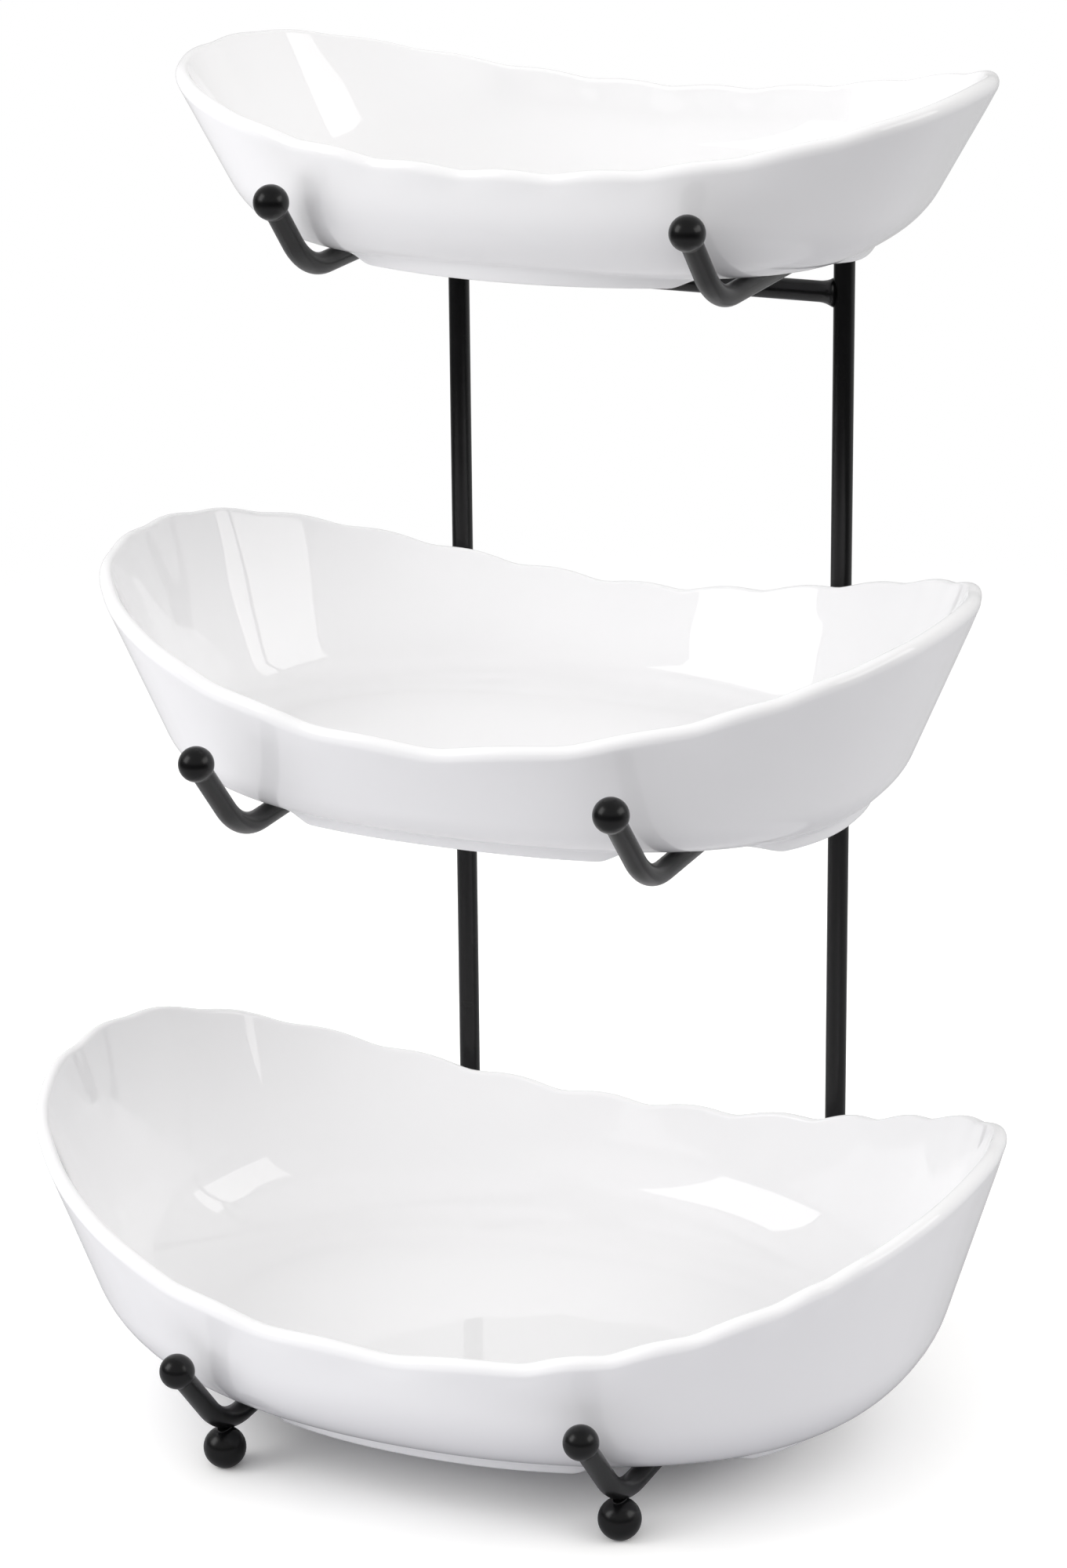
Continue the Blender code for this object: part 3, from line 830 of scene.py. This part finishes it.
def makeBowl(tier):
    bowl = bowls[tier]
    node = tier + "_bowl"
    values = {
        "Lobes": lobeCount(bowl),
        "Depth": bowl["lobeDepth"],
        "Side Lift": bowl["lobeLift"],
        "End Lift": bowl["lobeLift"] * scallop["endLiftShare"],
        "Valley Softness": scallop["valleySoftness"],
        "Crest Share": scallop["crestShare"],
        "Material": whiteGlaze,
    }
    mesh = runTree(node + "_glazed", bowlShell(node, bowl), scallopTree, values)
    seat = Vector((0, middle(node).y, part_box(node)[0].z + bowl["ringDrop"]))
    mesh.transform(Matrix.Translation(seat))
    showPiece(node + "_glazed", mesh, bowl["body"], node)
    print(node, "made:", len(mesh.polygons), "faces")


makePosts()
makeCrossbars()
makeArms()
makeArmBalls()
makeFeet()
print("stand made")
for tierName in tiers:
    makeBowl(tierName)

# Camera, light and floor

view = {                       # where the photograph was taken from
    "target": (-5.58 * mm, 16.07 * mm, 209.33 * mm),
    "azimuth": math.radians(23.09),
    "elevation": math.radians(17.98),
    "roll": math.radians(-0.55),
    "distance": 1594.04 * mm,
    "lens": 110.36,
    "sensor": 36,
    "farEnd": 20,              # metres; the lens and the sensor are in millimetres
}


def makeCamera():
    turn, tilt, roll = view["azimuth"], view["elevation"], view["roll"]
    ahead = math.cos(tilt)
    forward = Vector((-math.sin(turn) * ahead, math.cos(turn) * ahead, -math.sin(tilt)))
    right = Vector((math.cos(turn), math.sin(turn), 0))
    upward = right.cross(forward)
    rightRolled = math.cos(roll) * right + math.sin(roll) * upward
    upRolled = -math.sin(roll) * right + math.cos(roll) * upward
    axes = Matrix((rightRolled, upRolled, -forward)).transposed().to_4x4()
    lens = bpy.data.cameras.new("camera")
    lens.sensor_fit = "VERTICAL"
    lens.sensor_height = view["sensor"]
    lens.lens = view["lens"]
    lens.clip_end = view["farEnd"]
    camera = bpy.data.objects.new("camera", lens)
    bpy.context.collection.objects.link(camera)
    place = Vector(view["target"]) - forward * view["distance"]
    camera.matrix_world = Matrix.Translation(place) @ axes
    bpy.context.scene.camera = camera


studio = {
    "aim": (0, 0, 0.2),
    # ambient light by the height of its direction: straight down is 0 and straight up is 1
    "frontRightGlow": ((0.42, 0), (0.56, 0.04), (0.715, 1.78), (0.87, 0.9), (0.96, 0.7)),
    "backLeftGlow": ((0.42, 1.15), (0.56, 1.15), (0.715, 1.12), (0.87, 0.9), (0.96, 0.65)),
    "turnOfGlow": (-0.56, -0.08),   # from one to the other, by a direction's y less its x
    "leftGlow": 0.42,          # more from the left, by how far a direction points there
    "leftTurn": math.radians(30),   # and how far that is turned to the front
    "leftRange": (0.26, 0.85),
    "lowColour": (0.985, 0.98, 1),
    "highColour": (1, 0.995, 0.985),
    "colourHeights": (0.5, 0.9),
    # what glossy surfaces see: the room in front, by height as above, and the backdrop behind
    "roomGlow": ((0.2, 0.65), (0.34, 0.2), (0.42, 0.04), (0.56, 0.04), (0.68, 0.45), (1, 0.42)),
    "backdropGlow": 0.55,
    "backdropRange": (-0.1, 0.5),   # from one to the other, by a direction's y
    "lamps": {
        "keyLeft": {
            "place": (-2.25, -1.8, 1.93), "size": (1.65, 1.95), "watts": 27.5,
            "colour": (1, 0.998, 1), "mirrored": True,
        },
        "fillRight": {
            "place": (2.63, 0.38, 1.61), "size": (2.4, 1.35), "watts": 21.5,
            "colour": (1, 0.99, 0.975), "mirrored": True,
        },
        "lowLeft": {           # leaves no image in the glaze
            "place": (-1.2, -1.15, 0.16), "size": (1.1, 0.25), "watts": 2.6,
            "colour": (1, 1, 1), "mirrored": False,
        },
    },
}
floorLook = {
    "radius": 1.1,
    "steps": 96,
    "solidRadius": 0.45,       # past here it fades into the white around it
    "colour": (0.6, 0.6, 0.635),
    "mirroredColour": (0.5, 0.5, 0.51),   # as glossy surfaces see it
    # as the camera sees it, brighter, so that it is white outside the shadow
    "seenColour": (1.11, 1.11, 1.1),
}


def makeLamps():
    for name, values in studio["lamps"].items():
        lamp = bpy.data.lights.new(name, "AREA")
        lamp.shape = "RECTANGLE"
        lamp.size, lamp.size_y = values["size"]
        lamp.energy = values["watts"]
        lamp.color = values["colour"]
        holder = bpy.data.objects.new(name, lamp)
        bpy.context.collection.objects.link(holder)
        holder.visible_glossy = values["mirrored"]
        place = Vector(values["place"])
        turn = (Vector(studio["aim"]) - place).to_track_quat("-Z", "Y")
        holder.matrix_world = Matrix.Translation(place) @ turn.to_matrix().to_4x4()


def glowByHeight(tree, height, stops):
    ramp = addNode(tree, "ShaderNodeValToRGB", {"Fac": height})
    elements = ramp.color_ramp.elements
    elements.remove(elements[1])
    for number, (place, strength) in enumerate(stops):
        stop = elements.new(place) if number else elements[0]
        stop.position = place
        stop.color = (strength, strength, strength, 1)
    return ramp.outputs["Color"]


def makeWorld():
    world = bpy.data.worlds.new("studio")
    bpy.context.scene.world = world
    world.use_nodes = True
    tree = world.node_tree
    towards = addNode(tree, "ShaderNodeTexCoord").outputs["Generated"]
    parts = addNode(tree, "ShaderNodeSeparateXYZ", {0: towards}).outputs
    height = maths(tree, "MULTIPLY_ADD", parts["Z"], 0.5, 0.5)
    side = maths(tree, "SUBTRACT", parts["Y"], parts["X"])
    side = shareBetween(tree, side, studio["turnOfGlow"])
    front = glowByHeight(tree, height, studio["frontRightGlow"])
    back = glowByHeight(tree, height, studio["backLeftGlow"])
    strength = maths(tree, "MULTIPLY_ADD", side, maths(tree, "SUBTRACT", back, front), front)
    left = maths(tree, "MULTIPLY", parts["X"], -math.cos(studio["leftTurn"]))
    left = maths(tree, "MULTIPLY_ADD", parts["Y"], -math.sin(studio["leftTurn"]), left)
    left = shareBetween(tree, left, studio["leftRange"], "SMOOTHSTEP")
    strength = maths(tree, "MULTIPLY_ADD", left, studio["leftGlow"], strength)
    raised = shareBetween(tree, height, studio["colourHeights"])
    colour = blendColour(tree, raised, studio["lowColour"], studio["highColour"])
    ambient = tree.nodes["Background"]
    tree.links.new(colour, ambient.inputs["Color"])
    tree.links.new(strength, ambient.inputs["Strength"])
    behind = shareBetween(tree, parts["Y"], studio["backdropRange"], "SMOOTHSTEP")
    room = glowByHeight(tree, height, studio["roomGlow"])
    change = maths(tree, "SUBTRACT", studio["backdropGlow"], room)
    room = maths(tree, "MULTIPLY_ADD", behind, change, room)
    paths = addNode(tree, "ShaderNodeLightPath").outputs
    glow = maths(tree, "MULTIPLY", paths["Is Glossy Ray"], room)
    glow = maths(tree, "MAXIMUM", glow, paths["Is Camera Ray"])
    glow = maths(tree, "MAXIMUM", glow, paths["Is Transmission Ray"])
    seen = addNode(tree, "ShaderNodeBackground", {"Color": (1, 1, 1, 1), "Strength": glow})
    wires = {0: maths(tree, "GREATER_THAN", glow, 0), 1: ambient.outputs[0], 2: seen.outputs[0]}
    both = addNode(tree, "ShaderNodeMixShader", wires)
    tree.links.new(both.outputs[0], tree.nodes["World Output"].inputs["Surface"])


def makeFloor():
    material, tree, shader, place = newMaterial("paperFloor")
    tree.nodes.remove(shader)
    radius = floorLook["radius"]
    paths = addNode(tree, "ShaderNodeLightPath").outputs
    colour, mirrored = floorLook["colour"], floorLook["mirroredColour"]
    colour = blendColour(tree, paths["Is Glossy Ray"], colour, mirrored)
    colour = blendColour(tree, paths["Is Camera Ray"], colour, floorLook["seenColour"])
    paper = addNode(tree, "ShaderNodeBsdfDiffuse", {"Color": colour}).outputs[0]
    clear = addNode(tree, "ShaderNodeBsdfTransparent").outputs[0]
    distance = vectorMaths(tree, "LENGTH", {0: place}, "Value")
    edge = shareBetween(tree, distance, (floorLook["solidRadius"], radius), "SMOOTHSTEP")
    faded = addNode(tree, "ShaderNodeMixShader", {0: edge, 1: paper, 2: clear}).outputs[0]
    tree.links.new(faded, tree.nodes["Material Output"].inputs["Surface"])
    shape = bmesh.new()
    bmesh.ops.create_circle(shape, cap_ends=True, radius=radius, segments=floorLook["steps"])
    mesh = bpy.data.meshes.new("floor")
    shape.to_mesh(mesh)
    shape.free()
    mesh.materials.append(material)
    floor = bpy.data.objects.new("floor", mesh)
    bpy.context.collection.objects.link(floor)


makeCamera()
makeLamps()
makeWorld()
makeFloor()
bpy.context.scene.view_settings.view_transform = "Standard"
print("studio made")
